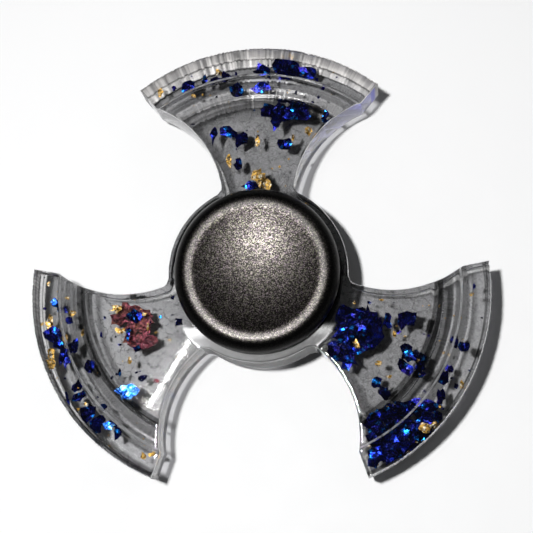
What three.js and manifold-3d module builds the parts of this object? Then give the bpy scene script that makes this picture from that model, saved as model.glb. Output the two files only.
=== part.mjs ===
// A three-armed fidget spinner: a clear cast-resin rotor on a 608 ball bearing,
// held between two black anodised finger caps that screw together through the bearing.
//
// Units are millimetres. The origin is the hub's centre at mid-thickness, +Z is the spin axis
// towards the front cap, and +Y points along one arm.

import * as THREE from "three";
import { mergeVertices } from "three/addons/utils/BufferGeometryUtils.js";
import Module from "manifold-3d";

const wasm = await Module();
wasm.setup();

// ---- Driving dimensions ----

const ARM_COUNT = 3;
const ROTOR_HALF = 4.5; // half the thickness at the hub and the arms' webs
const HUB_RADIUS = 14.75;
const RIM_CENTRE = 5.6; // how far out along an arm its rim and steps are centred
const RIM_RADIUS = 32.9; // about that centre
const TIP_RADIUS = 37.5; // hub's centre to an arm's corners
const KINK_RADIUS = 33.2; // where an arm's straight end meets its scooped side
const SCOOP_CENTRE = new THREE.Vector2(11.6, 23.9); // along the arm, beside the arm
const SCOOP_RADIUS = 18.1;
const NECK_FILLET = 1.4;
const RIBS_PER_RIM = 64; // fine upright ribs along one arm's rim
const RIBS_PER_MM = 4 / (2 * Math.PI); // the same ribs round the back face's steps
const RIB_DEPTH = 0.1;

// Steps that thin each arm towards its rim, about the rim's centre: outside each radius the
// face drops to the height given.
const FRONT_STEPS = [
  { radius: 24.0, top: 4.0 },
  { radius: 28.1, top: 3.5 },
];
const BACK_STEPS = [
  { radius: 26.8, top: 4.1 },
  { radius: 29.8, top: 3.7 },
];

// 608 bearing
const BEARING_HALF = 3.5;
const OUTER_RADIUS = 11;
const BORE_RADIUS = 4;
const PITCH_RADIUS = 7.5;
const BALL_RADIUS = 1.98;
const BALL_COUNT = 7;
const GROOVE_RADIUS = 2.08;
const OUTER_LAND = 9;
const INNER_LAND = 6;
const RING_CHAMFER = 0.3;
const SHIELD_SEAT_RADIUS = 9.6;
const SHIELD_SEAT_Z = 2.7;
const SHIELD_THICKNESS = 0.3;
const SHIELD_INNER = 6.3;

// Riveted ribbon cage
const CAGE_INNER = 6.7;
const CAGE_OUTER = 8.3;
const CAGE_SHEET = 0.28;
const CAGE_SPLIT = 0.05; // from mid-plane to a half's flat face
const POCKET_RADIUS = 2.06;
const POCKET_CROWN = 0.2; // spare height over a pocket before it is cut round
const CAGE_BAR_LENGTH = 6;
const RIVET_SHANK = 0.26;
const RIVET_HEAD_RADIUS = 0.5;
const RIVET_HEAD_HEIGHT = 0.2;
const RIVET_HEAD_TAPER = 0.7; // the head's top as a share of its radius

// Finger caps
const CAP_RADIUS = 13.5;
const CAP_TOP = 8.2;
const CAP_UNDERSIDE = 5.0;
const CAP_CREST_OUTER = 11.15;
const CAP_CREST_INNER = 10.3;
const CAP_DISH_DEPTH = 1.1;
const CAP_SHOULDER_BASE = 6.0;
const CAP_EDGE = 0.4;
const CAP_BOSS_RADIUS = 5.7;
const STEM_END = -3.1; // the front cap's hollow stem runs down to here
const SCREW_RADIUS = 2.45;
const SCREW_TIP = 5.5;
const SCREW_CHAMFER = 0.3;
const SOCKET_TOP = 5.8;

const FIT = 0.05; // clearance between pieces that seat in each other

const CUT_REACH = 1; // how far a cutter runs past what it cuts
const SMOOTH_SIDES = 48; // sides on a turned piece
const STEP_SIDES = 180; // sides on the steps' round risers
const BAR_SIDES = 20; // sides on a ball pocket
const RIVET_SIDES = 10;
const BALL_SEGMENTS = { around: 16, down: 10 };
const FILLET_STEPS = 5;
const SCOOP_STEPS = 16;
const HUB_STEPS = 12;
const GROOVE_STEPS = 4;
const SHOULDER_STEPS = 6;
const DISH_STEPS = 5;
const MERGE_DISTANCE = 1e-4;

// ---- Materials ----

function material(color, roughness, metalness, extra = {}) {
  return new THREE.MeshStandardMaterial({ color, roughness, metalness, ...extra });
}

const resin = material(0x8f9393, 0.08, 0, { transparent: true, opacity: 0.45 });
const anodised = material(0x101012, 0.55, 0.8);
const bearingSteel = material(0xb9bcc0, 0.22, 1);
const cageSteel = material(0x9a9a96, 0.4, 1);

// ---- Helpers ----

function polar(radius, degrees) {
  const angle = THREE.MathUtils.degToRad(degrees);
  return new THREE.Vector2(radius * Math.cos(angle), radius * Math.sin(angle));
}

// Where two circles cross, on the left of the line from centre a to centre b.
function circlesMeet(a, radiusA, b, radiusB) {
  const gap = b.clone().sub(a);
  const distance = gap.length();
  const along = (distance ** 2 + radiusA ** 2 - radiusB ** 2) / (2 * distance);
  const aside = Math.sqrt(radiusA ** 2 - along ** 2);
  const unit = gap.divideScalar(distance);
  const left = new THREE.Vector2(-unit.y, unit.x);
  return a.clone().addScaledVector(unit, along).addScaledVector(left, aside);
}

// Points along the shorter arc about a centre, from one point to another, ends included.
function arc(centre, from, to, steps) {
  const start = from.clone().sub(centre);
  const turn = Math.atan2(start.cross(to.clone().sub(centre)), start.dot(to.clone().sub(centre)));
  return Array.from({ length: steps + 1 }, (_, i) =>
    from.clone().rotateAround(centre, (turn * i) / steps)
  );
}

function lathe(profile, sides = SMOOTH_SIDES) {
  const geometry = new THREE.LatheGeometry(profile, sides);
  geometry.rotateX(Math.PI / 2); // the lathe's +Y axis becomes +Z
  return geometry;
}

function flip(profile) {
  return profile.map((p) => new THREE.Vector2(p.x, -p.y)).reverse();
}

function points(pairs) {
  return pairs.map(([x, y]) => new THREE.Vector2(x, y));
}

function solidOf(geometry) {
  const plain = geometry.index ? geometry.toNonIndexed() : geometry.clone();
  plain.deleteAttribute("normal");
  plain.deleteAttribute("uv");
  const merged = mergeVertices(plain, MERGE_DISTANCE);
  return new wasm.Manifold(
    new wasm.Mesh({
      numProp: 3,
      vertProperties: new Float32Array(merged.attributes.position.array),
      triVerts: new Uint32Array(merged.index.array),
    })
  );
}

function geometryOf(solid) {
  const mesh = solid.getMesh();
  const geometry = new THREE.BufferGeometry();
  geometry.setAttribute("position", new THREE.BufferAttribute(mesh.vertProperties, 3));
  geometry.setIndex(new THREE.BufferAttribute(mesh.triVerts, 1));
  geometry.computeVertexNormals();
  return geometry;
}

// A flat-ended slab of an outline, between two heights.
function slab(outline, low, high) {
  const geometry = new THREE.ExtrudeGeometry(new THREE.Shape(outline), {
    depth: high - low,
    bevelEnabled: false,
  });
  return geometry.translate(0, 0, low);
}

function drum(radius, low, high, sides) {
  return lathe(points([[0, low], [radius, low], [radius, high], [0, high]]), sides);
}

function named(name, geometry, surface) {
  const mesh = new THREE.Mesh(geometry, surface);
  mesh.name = name;
  return mesh;
}

// ---- Rotor ----

// A circle about the origin, or a stretch of one, whose edge is a run of fine ribs.
function ribbedArc(radius, fromDegrees, toDegrees, ribs) {
  const count = 2 * ribs;
  return Array.from({ length: count + 1 }, (_, i) => {
    const depth = i % 2 ? RIB_DEPTH : 0;
    return polar(radius - depth, fromDegrees + ((toDegrees - fromDegrees) * i) / count);
  });
}

// One side of an arm that points along +X, from the hub outward, on the +Y side.
function armSide() {
  const hub = new THREE.Vector2(0, 0);
  const fillet = circlesMeet(
    SCOOP_CENTRE,
    SCOOP_RADIUS - NECK_FILLET,
    hub,
    HUB_RADIUS + NECK_FILLET
  );
  const onHub = fillet.clone().setLength(HUB_RADIUS);
  const onScoop = fillet.clone().sub(SCOOP_CENTRE).setLength(SCOOP_RADIUS).add(SCOOP_CENTRE);
  const kink = circlesMeet(SCOOP_CENTRE, SCOOP_RADIUS, hub, KINK_RADIUS);
  return [
    ...arc(fillet, onHub, onScoop, FILLET_STEPS),
    ...arc(SCOOP_CENTRE, onScoop, kink, SCOOP_STEPS).slice(1),
  ];
}

function rotorOutline() {
  const upper = armSide();
  const lower = upper.map((p) => new THREE.Vector2(p.x, -p.y));
  const rimCentre = new THREE.Vector2(RIM_CENTRE, 0);
  const corner = circlesMeet(new THREE.Vector2(), TIP_RADIUS, rimCentre, RIM_RADIUS);
  const spread = THREE.MathUtils.radToDeg(corner.clone().sub(rimCentre).angle());
  const rim = ribbedArc(RIM_RADIUS, -spread, spread, RIBS_PER_RIM).map((p) => p.add(rimCentre));
  const arm = [...lower, ...rim, ...[...upper].reverse()];
  const turn = (2 * Math.PI) / ARM_COUNT;
  const nextFoot = lower[0].clone().rotateAround(new THREE.Vector2(), turn);
  const hubArc = arc(new THREE.Vector2(), upper[0], nextFoot, HUB_STEPS).slice(1, -1);
  const third = [...arm, ...hubArc];
  const outline = [];
  for (let i = 0; i < ARM_COUNT; i++) {
    outline.push(...third.map((p) => p.clone().rotateAround(new THREE.Vector2(), armAngle(i))));
  }
  return outline;
}

function armAngle(i) {
  return Math.PI / 2 + (i * 2 * Math.PI) / ARM_COUNT;
}

// The same disc on every arm, about that arm's rim centre, as one solid.
function onEveryArm(geometry) {
  let solid = null;
  for (let i = 0; i < ARM_COUNT; i++) {
    const disc = solidOf(geometry.clone().translate(RIM_CENTRE, 0, 0).rotateZ(armAngle(i)));
    solid = solid ? solid.add(disc) : disc;
  }
  return solid;
}

function plainDiscs(radius, low, high) {
  return onEveryArm(drum(radius, low, high, STEP_SIDES));
}

function ribbedDiscs(radius, low, high) {
  const ribs = Math.round(radius * 2 * Math.PI * RIBS_PER_MM);
  return onEveryArm(slab(ribbedArc(radius, 0, 360, ribs).slice(0, -1), low, high));
}

function resinBody() {
  const [frontInner, frontOuter] = FRONT_STEPS;
  const [backInner, backOuter] = BACK_STEPS;
  const steps = plainDiscs(RIM_RADIUS + CUT_REACH, -backOuter.top, frontOuter.top)
    .add(plainDiscs(frontOuter.radius, 0, frontInner.top))
    .add(plainDiscs(frontInner.radius, 0, ROTOR_HALF))
    .add(ribbedDiscs(backOuter.radius, -backInner.top, 0))
    .add(ribbedDiscs(backInner.radius, -ROTOR_HALF, 0));
  const past = ROTOR_HALF + CUT_REACH;
  const bore = drum(OUTER_RADIUS + FIT, -past, past, SMOOTH_SIDES);
  const plate = slab(rotorOutline(), -past, past);
  return geometryOf(solidOf(plate).intersect(steps).subtract(solidOf(bore)));
}

// ---- Bearing ----

// The ball groove's section, from the back land to the front land.
function groove(landRadius, sign) {
  const centre = new THREE.Vector2(PITCH_RADIUS, 0);
  const rise = Math.sqrt(GROOVE_RADIUS ** 2 - (landRadius - PITCH_RADIUS) ** 2);
  const back = new THREE.Vector2(landRadius, -rise);
  const bottom = new THREE.Vector2(PITCH_RADIUS + sign * GROOVE_RADIUS, 0);
  const front = new THREE.Vector2(landRadius, rise);
  return [
    ...arc(centre, back, bottom, GROOVE_STEPS),
    ...arc(centre, bottom, front, GROOVE_STEPS).slice(1),
  ];
}

function outerRing() {
  const h = BEARING_HALF;
  const c = RING_CHAMFER;
  const seat = SHIELD_SEAT_RADIUS;
  const ledge = SHIELD_SEAT_Z;
  const outside = points([
    [seat, -h], [OUTER_RADIUS - c, -h], [OUTER_RADIUS, -h + c],
    [OUTER_RADIUS, h - c], [OUTER_RADIUS - c, h], [seat, h],
    [seat, ledge], [OUTER_LAND, ledge],
  ]);
  const inside = groove(OUTER_LAND, 1).reverse();
  const last = points([[OUTER_LAND, -ledge], [seat, -ledge]]);
  return lathe([...outside, ...inside, ...last, outside[0].clone()]);
}

function innerRing() {
  const h = BEARING_HALF;
  const c = RING_CHAMFER;
  const bore = points([
    [BORE_RADIUS, h - c], [BORE_RADIUS, -h + c], [BORE_RADIUS + c, -h], [INNER_LAND, -h],
  ]);
  const race = groove(INNER_LAND, -1);
  const last = points([[INNER_LAND, h], [BORE_RADIUS + c, h]]);
  return lathe([...bore, ...race, ...last, bore[0].clone()]);
}

function ballAngle(i) {
  return Math.PI / 2 + (i * 2 * Math.PI) / BALL_COUNT;
}

function ball(i) {
  const { around, down } = BALL_SEGMENTS;
  const geometry = new THREE.SphereGeometry(BALL_RADIUS, around, down);
  const angle = ballAngle(i);
  return geometry.translate(PITCH_RADIUS * Math.cos(angle), PITCH_RADIUS * Math.sin(angle), 0);
}

// A bar that lies along the radius through ball i.
function radialBar(radius, i) {
  const bar = new THREE.CylinderGeometry(radius, radius, CAGE_BAR_LENGTH, BAR_SIDES);
  bar.rotateZ(Math.PI / 2);
  bar.translate(PITCH_RADIUS, 0, 0);
  return solidOf(bar.rotateZ(ballAngle(i)));
}

function betweenBalls(i) {
  return ballAngle(i) + Math.PI / BALL_COUNT;
}

function cageHalf() {
  const tall = POCKET_RADIUS + CAGE_SHEET + POCKET_CROWN;
  const band = (top) =>
    solidOf(
      lathe(
        points([
          [CAGE_INNER, CAGE_SPLIT], [CAGE_OUTER, CAGE_SPLIT],
          [CAGE_OUTER, top], [CAGE_INNER, top], [CAGE_INNER, CAGE_SPLIT],
        ])
      )
    );
  let half = band(CAGE_SPLIT + CAGE_SHEET);
  for (let i = 0; i < BALL_COUNT; i++) {
    half = half.add(band(tall).intersect(radialBar(POCKET_RADIUS + CAGE_SHEET, i)));
  }
  for (let i = 0; i < BALL_COUNT; i++) {
    const hole = drum(RIVET_SHANK + FIT, -CUT_REACH, CUT_REACH, RIVET_SIDES);
    const angle = betweenBalls(i);
    hole.translate(PITCH_RADIUS * Math.cos(angle), PITCH_RADIUS * Math.sin(angle), 0);
    half = half.subtract(radialBar(POCKET_RADIUS, i)).subtract(solidOf(hole));
  }
  return geometryOf(half);
}

function rivet(i) {
  const seat = CAGE_SPLIT + CAGE_SHEET + FIT;
  const end = seat + RIVET_HEAD_HEIGHT;
  const crown = RIVET_HEAD_RADIUS * RIVET_HEAD_TAPER;
  const geometry = lathe(
    points([
      [0, -end], [crown, -end], [RIVET_HEAD_RADIUS, -seat], [RIVET_SHANK, -seat],
      [RIVET_SHANK, seat], [RIVET_HEAD_RADIUS, seat], [crown, end], [0, end],
    ]),
    RIVET_SIDES
  );
  const angle = betweenBalls(i);
  return geometry.translate(PITCH_RADIUS * Math.cos(angle), PITCH_RADIUS * Math.sin(angle), 0);
}

function shieldProfile() {
  const low = SHIELD_SEAT_Z + FIT;
  const high = low + SHIELD_THICKNESS;
  const rim = SHIELD_SEAT_RADIUS - FIT;
  return points([
    [SHIELD_INNER, low], [rim, low], [rim, high], [SHIELD_INNER, high], [SHIELD_INNER, low],
  ]);
}

// ---- Caps ----

// The cap's visible side, from its underside round the shoulder and over the dish to the axis.
function capFace() {
  const shoulder = Array.from({ length: SHOULDER_STEPS + 1 }, (_, i) => {
    const angle = (i / SHOULDER_STEPS) * (Math.PI / 2);
    return new THREE.Vector2(
      CAP_CREST_OUTER + (CAP_RADIUS - CAP_CREST_OUTER) * Math.cos(angle),
      CAP_SHOULDER_BASE + (CAP_TOP - CAP_SHOULDER_BASE) * Math.sin(angle)
    );
  });
  const dish = Array.from({ length: DISH_STEPS + 1 }, (_, i) => {
    const x = CAP_CREST_INNER * (1 - i / DISH_STEPS);
    return new THREE.Vector2(x, CAP_TOP - CAP_DISH_DEPTH * (1 - (x / CAP_CREST_INNER) ** 2));
  });
  return [
    ...points([
      [CAP_BOSS_RADIUS, BEARING_HALF + FIT],
      [CAP_BOSS_RADIUS, CAP_UNDERSIDE],
      [CAP_RADIUS - CAP_EDGE, CAP_UNDERSIDE],
      [CAP_RADIUS, CAP_UNDERSIDE + CAP_EDGE],
    ]),
    ...shoulder,
    ...dish,
  ];
}

function frontCap() {
  const stem = BORE_RADIUS - FIT;
  const socket = SCREW_RADIUS + FIT;
  return lathe([
    ...points([
      [0, SOCKET_TOP], [socket, SOCKET_TOP], [socket, STEM_END],
      [stem, STEM_END], [stem, BEARING_HALF + FIT],
    ]),
    ...capFace(),
  ]);
}

function backCap() {
  const stem = BORE_RADIUS - FIT;
  const stemEnd = -STEM_END + FIT; // stops just short of the front cap's stem
  return lathe(
    flip([
      ...points([
        [0, -SCREW_TIP], [SCREW_RADIUS - SCREW_CHAMFER, -SCREW_TIP],
        [SCREW_RADIUS, -SCREW_TIP + SCREW_CHAMFER], [SCREW_RADIUS, stemEnd],
        [stem, stemEnd], [stem, BEARING_HALF + FIT],
      ]),
      ...capFace(),
    ])
  );
}

// ---- Assembly ----

const group = new THREE.Group();

group.add(named("resin_body", resinBody(), resin));
group.add(named("bearing_outer_ring", outerRing(), bearingSteel));
group.add(named("bearing_inner_ring", innerRing(), bearingSteel));
for (let i = 0; i < BALL_COUNT; i++) {
  group.add(named(`bearing_ball_${i + 1}`, ball(i), bearingSteel));
}
const frontHalf = cageHalf();
const backHalf = frontHalf.clone().rotateX(Math.PI).rotateZ(Math.PI);
group.add(named("cage_half_front", frontHalf, cageSteel));
group.add(named("cage_half_back", backHalf, cageSteel));
for (let i = 0; i < BALL_COUNT; i++) {
  group.add(named(`cage_rivet_${i + 1}`, rivet(i), cageSteel));
}
group.add(named("shield_front", lathe(shieldProfile()), cageSteel));
group.add(named("shield_back", lathe(flip(shieldProfile())), cageSteel));
group.add(named("cap_front", frontCap(), anodised));
group.add(named("cap_back", backCap(), anodised));

export default group;
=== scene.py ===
"""A three-armed fidget spinner: foil flakes cast in smoky clear resin, black finger caps, steel bearing.

Object units are metres; sizes named in millimetres are multiplied by MM where they are used.
"""

import math
import random

import bmesh
import bpy
from mathutils import Euler, Matrix, Vector, noise
from mathutils.bvhtree import BVHTree
from mathutils.geometry import delaunay_2d_cdt


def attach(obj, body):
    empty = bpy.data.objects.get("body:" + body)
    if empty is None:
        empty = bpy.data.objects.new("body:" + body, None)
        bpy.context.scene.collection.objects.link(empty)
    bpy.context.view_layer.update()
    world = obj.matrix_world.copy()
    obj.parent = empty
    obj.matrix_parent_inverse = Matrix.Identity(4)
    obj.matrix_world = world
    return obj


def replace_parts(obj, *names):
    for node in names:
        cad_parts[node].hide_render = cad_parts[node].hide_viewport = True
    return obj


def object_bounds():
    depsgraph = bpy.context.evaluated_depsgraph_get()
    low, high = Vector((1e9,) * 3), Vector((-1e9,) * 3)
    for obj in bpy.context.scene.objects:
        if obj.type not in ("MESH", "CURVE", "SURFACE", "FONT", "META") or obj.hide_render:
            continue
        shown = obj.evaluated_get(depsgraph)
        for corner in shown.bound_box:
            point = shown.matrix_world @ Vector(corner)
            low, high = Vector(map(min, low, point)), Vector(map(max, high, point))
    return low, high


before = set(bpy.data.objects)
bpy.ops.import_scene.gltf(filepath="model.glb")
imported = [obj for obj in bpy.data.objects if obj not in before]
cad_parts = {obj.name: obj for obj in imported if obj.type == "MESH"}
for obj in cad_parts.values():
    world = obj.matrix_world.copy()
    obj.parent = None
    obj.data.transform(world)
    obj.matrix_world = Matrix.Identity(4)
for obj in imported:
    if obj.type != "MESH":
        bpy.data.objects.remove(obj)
cad_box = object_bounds()

MM = 0.001
FLOOR_Z = cad_box[0].z  # the spinner lies on its back cap


# ---- Shader helpers ----


class Surface:
    """A material with a Principled shader, and short ways to add nodes in millimetres of object space."""

    def __init__(self, name, **constants):
        self.material = bpy.data.materials.new(name)
        self.material.use_nodes = True
        self.tree = self.material.node_tree
        self.shader = self.tree.nodes["Principled BSDF"]
        self.output = self.tree.nodes["Material Output"]
        for key, value in constants.items():
            self.shader.inputs[key.replace("_", " ")].default_value = value
        place = self.add("ShaderNodeTexCoord").outputs["Object"]
        self.place = self.vector("MULTIPLY", place, (1 / MM, 1 / MM, 1 / MM))

    def add(self, kind, inputs=None, **settings):
        node = self.tree.nodes.new(kind)
        for key, value in settings.items():
            setattr(node, key, value)
        for key, value in (inputs or {}).items():
            self.feed(value, node.inputs[key])
        return node

    def feed(self, value, socket):
        if isinstance(value, bpy.types.NodeSocket):
            self.tree.links.new(value, socket)
        else:
            socket.default_value = value

    def vector(self, operation, a, b):
        return self.add("ShaderNodeVectorMath", {0: a, 1: b}, operation=operation).outputs[0]

    def math(self, operation, a, b=0.0, clamp=False):
        inputs = {0: a, 1: b}
        return self.add("ShaderNodeMath", inputs, operation=operation, use_clamp=clamp).outputs[0]

    def noise(self, scale, detail=3.0, roughness=0.55, distortion=0.0, stretch=(1, 1, 1), over=None):
        inputs = {
            "Vector": self.vector("MULTIPLY", over or self.place, stretch),
            "Scale": scale,
            "Detail": detail,
            "Roughness": roughness,
            "Distortion": distortion,
        }
        return self.add("ShaderNodeTexNoise", inputs).outputs["Fac"]

    def cells(self, scale, output="Color", feature="F1", wander=0.0):
        """Cells, as many to a millimetre as the scale says. Their walls wander when asked."""
        vector = self.place
        if wander:
            inputs = {"Vector": self.place, "Scale": scale * 2}
            push = self.add("ShaderNodeTexNoise", inputs).outputs["Color"]
            push = self.vector("MULTIPLY", push, (wander / scale,) * 3)
            vector = self.vector("ADD", vector, push)
        inputs = {"Vector": vector, "Scale": scale}
        return self.add("ShaderNodeTexVoronoi", inputs, feature=feature).outputs[output]

    def ring(self, distance, low, high, soft):
        """1 between two distances, 0 outside them."""
        past = self.span(distance, low - soft, low + soft)
        return self.math("MULTIPLY", past, self.span(distance, high - soft, high + soft, 1.0, 0.0))

    def times(self, first, *others):
        for other in others:
            first = self.math("MULTIPLY", first, other)
        return first

    def highest(self, first, *others):
        for other in others:
            first = self.math("MAXIMUM", first, other)
        return first

    def total(self, first, *others):
        for other in others:
            first = self.math("ADD", first, other)
        return first

    def lay(self, colour, *layers):
        """Covers a colour with others, each given as a mask and a colour."""
        for mask, over in layers:
            colour = self.mix(mask, colour, over)
        return colour

    def from_axis(self):
        """The distance from the spin axis."""
        flat = self.vector("MULTIPLY", self.place, (1, 1, 0))
        return self.add("ShaderNodeVectorMath", {0: flat}, operation="LENGTH").outputs["Value"]

    def from_rim_centre(self):
        """The distance from the nearest arm's rim centre, and the direction away from it."""
        flat = self.vector("MULTIPLY", self.place, (1, 1, 0))
        nearest = away = None
        for centre in rim_centres():
            ray = self.vector("SUBTRACT", flat, (centre.x, centre.y, 0))
            length = self.add("ShaderNodeVectorMath", {0: ray}, operation="LENGTH").outputs["Value"]
            if nearest:
                away = self.mix(self.math("LESS_THAN", length, nearest), away, ray)
                nearest = self.math("MINIMUM", nearest, length)
            else:
                nearest, away = length, ray
        return nearest, self.add("ShaderNodeVectorMath", {0: away}, operation="NORMALIZE").outputs[0]

    def axis(self, name):
        return self.add("ShaderNodeSeparateXYZ", {0: self.place}).outputs[name]

    def span(self, value, low, high, to_low=0.0, to_high=1.0):
        inputs = {0: value, 1: low, 2: high, 3: to_low, 4: to_high}
        return self.add("ShaderNodeMapRange", inputs, clamp=True).outputs[0]

    def mix(self, factor, a, b):
        node = self.add("ShaderNodeMix", data_type="RGBA")
        for value, index in ((factor, 0), (a, 6), (b, 7)):
            self.feed(value, node.inputs[index])
        return node.outputs[2]

    def set(self, name, value):
        self.feed(value, self.shader.inputs[name])

    def bump(self, *layers):
        """Stacks bumps, each a height socket, its height in millimetres and its strength."""
        normal = None
        for height, millimetres, strength in layers:
            inputs = {"Height": height, "Distance": millimetres * MM, "Strength": strength}
            if normal:
                inputs["Normal"] = normal
            normal = self.add("ShaderNodeBump", inputs).outputs[0]
        self.set("Normal", normal)

    def upright(self):
        """1 on walls that stand up, 0 on level faces."""
        normal = self.add("ShaderNodeNewGeometry").outputs["Normal"]
        level = self.add("ShaderNodeSeparateXYZ", {0: normal}).outputs["Z"]
        return self.math("SUBTRACT", 1.0, self.math("ABSOLUTE", level), clamp=True)


# ---- Materials ----


def grey(level, warmth=0.0):
    return (level * (1 + warmth), level, level * (1 - warmth), 1)


# Where painted shade and painted light lie in the resin, as distances from the nearest arm's rim centre.
# They stand in for the shade and light that the real steps refract. "Top arm" is the one that points along
# +Y at rest.
SHADE_BANK_RISE = (21.2, 23.7)  # the top arm's painted shade inside its first step grows over this stretch
SHADE_BANK_STOP = (23.82, 23.9)
STEP_SHADOW_RING = (23.65, 25.2)  # painted shadow at the foot of the first step on the other arms
LIGHT_RING = (23.9, 25.8)  # the same step on the top arm, which catches the light
FIRST_TREAD = (25.3, 26.9)
SECOND_STEP = (27.2, 29.5)
LAST_TREAD = (29.9, 32.1)
LIGHT_LINES = ((26.92, 27.22, 0.8), (27.92, 28.02, 0.25), (29.6, 29.88, 0.75))  # painted highlight lines: from, to, strength
GLARE_RING = (26.85, 27.35)
FROST_AND_LIGHT_START = (30.9, 31.1)  # outside this the top arm's rim is frosted white: the frosted rim wall, and painted light, as it is on the top arm only
# painted shade along the frosted band's inner edge
FROST_EDGE_SHADE = (30.7, 31.0)
# a painted dark line of shade just inside the rim
RIM_SHADE_LINE = (32.05, 32.3)
RIM_WALL = (31.9, 32.3)
RIM_SHADOW = (31.3, 32.2)
# Distances from the spin axis.
FOOT_RING = (13.0, 15.4)  # the hub's foot below the cap, painted grey and rough on its lower side only: painted light
HUB_SHADOW = (13.8, 14.85)


class Resin(Surface):
    """Smoky clear resin, and where on the rotor a point of it lies."""

    def __init__(self):
        super().__init__("smoky_resin", IOR=1.5, Transmission_Weight=1.0)
        self.x, self.y = self.axis("X"), self.axis("Y")
        self.top_arm = self.span(self.y, 16, 22)
        self.other_arms = self.span(self.y, 6, 14, 1.0, 0.0)
        self.hub = self.from_axis()
        self.walls = self.upright()
        self.sides = self.span(self.walls, 0.3, 0.8)
        leaning = self.span(self.walls, 0.14, 0.24)
        # The edges' round-over is painted pale and metallic below: a painted highlight.
        self.edges = self.times(leaning, self.span(self.walls, 0.75, 0.95, 1.0, 0.0))

        self.reach, away = self.from_rim_centre()
        rays = self.noise(26, 3, 0.6, over=away)
        fine_rays = self.noise(85, 2, 0.5, over=away)
        self.ragged = self.math("ADD", self.reach, self.span(fine_rays, 0.35, 0.65, -0.13, 0.13))
        self.streaks = self.math(
            "ADD", self.span(rays, 0.4, 0.7, 0.0, 0.5), self.span(fine_rays, 0.4, 0.62, 0.0, 0.5)
        )
        self.rim_wall = self.times(self.sides, self.span(self.reach, *RIM_WALL))

        self.patches = self.noise(0.35, 6, 0.7)
        self.clouds = self.noise(1.6, 5, 0.75, 1.0)
        # The frosted band on the top arm's rim is partly painted light.
        self.frosted_and_lit = self.times(self.span(self.reach, *FROST_AND_LIGHT_START), self.top_arm)
        self.frost = self.mix(self.span(self.streaks, 0.15, 0.85), grey(0.42, 0.03), grey(0.98, 0.03))
        lit_ring = self.ring(self.ragged, *LIGHT_RING, 0.12)
        self.light_step = self.times(lit_ring, self.top_arm, self.span(self.streaks, 0.2, 0.8, 0.3, 0.95))
        cloudy = self.span(self.clouds, 0.3, 0.6, 0.75, 1.0)
        # The hub's foot, on its lower side only, is painted light: grey, rough and a little metallic.
        self.foot = self.times(self.ring(self.hub, *FOOT_RING, 0.3), self.span(self.y, -8, -11), cloudy)

    def smoke(self):
        """Mottled smoke, lighter in the left arm, with a few broken veins."""
        colour = self.mix(self.span(self.patches, 0.3, 0.7), grey(0.26), grey(0.54))
        soot = self.noise(3.2, 4, 0.7)
        # The left arm is made lighter.
        lighter_left = self.times(self.span(self.x, -12, -16), self.span(self.patches, 0.3, 0.6, 0.4, 0.8))
        veins = self.span(self.cells(0.5, "Distance", "DISTANCE_TO_EDGE", 0.7), 0.0, 0.06, 1.0, 0.0)
        broken = self.times(veins, self.span(self.noise(0.8, 4, 0.7), 0.42, 0.56, 0.0, 0.8))
        return self.lay(
            colour,
            (self.span(self.clouds, 0.48, 0.68, 0.0, 0.5), grey(0.78)),
            (self.span(soot, 0.52, 0.7, 0.0, 0.4), grey(0.16)),
            (lighter_left, grey(0.74)),
            (broken, grey(0.07)),
        )

    def rings(self, colour):
        """Rings of painted shade and painted light that follow the steps, from the first one out to the rim.
        """
        # The top arm's dark bank is painted shade, darkest just inside its first step.
        shade_bank = self.times(self.span(self.ragged, *SHADE_BANK_RISE), self.span(self.ragged, *SHADE_BANK_STOP, 1.0, 0.0))
        # A painted shadow at the foot of the first step on the other arms.
        dark = self.times(self.ring(self.reach, *STEP_SHADOW_RING, 0.12), self.other_arms)
        blotches = self.span(self.patches, 0.3, 0.5, 0.8, 1.0)
        uneven = self.span(self.patches, 0.35, 0.6, 0.55, 1.0)
        # Dark greys below are painted shade, and pale greys are painted light.
        colour = self.lay(
            colour,
            (self.times(shade_bank, self.top_arm, 0.9), grey(0.03)),
            (self.times(dark, blotches, 0.96), grey(0.012)),
            (self.light_step, grey(0.95, 0.02)),
            (self.times(self.ring(self.reach, *FIRST_TREAD, 0.1), self.other_arms, 0.8), grey(0.11)),
            (self.times(self.ring(self.reach, *FIRST_TREAD, 0.2), self.streaks, 0.35), grey(0.6)),
            (self.times(self.ring(self.reach, *SECOND_STEP, 0.2), uneven, 0.65), grey(0.12)),
            (self.times(self.ring(self.reach, *LAST_TREAD, 0.2), self.clouds, 0.7), grey(0.8)),
        )
        # Thin painted highlight lines along the steps.
        for low, high, strength in LIGHT_LINES:
            line = self.times(self.ring(self.ragged, low, high, 0.05), uneven, strength)
            colour = self.mix(line, colour, grey(0.92))
        return self.lay(
            colour,
            # a painted dark line of shade just inside the rim
            (self.times(self.ring(self.reach, *RIM_SHADE_LINE, 0.06), 0.8), grey(0.04)),
            # the frosted band, partly painted light
            (self.times(self.frosted_and_lit, 0.9), self.frost),
            # painted shade along the frosted band's inner edge
            (self.times(self.ring(self.ragged, *FROST_EDGE_SHADE, 0.05), self.top_arm, 0.9), grey(0.02)),
        )

    def wall_tints(self, colour):
        """Colours the scooped sides dark grey as painted shade, the rim's wall, the hub's foot as painted
        light and the edges pale as a painted highlight. The top arm's right side is painted blue, a painted
        reflection of the foil behind it."""
        tint = self.span(self.noise(0.25, 3, 0.6), 0.35, 0.65)
        # The scooped sides are painted dark grey: painted shade.
        side_colour = self.mix(tint, (0.10, 0.10, 0.14, 1), (0.40, 0.40, 0.43, 1))
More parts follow.
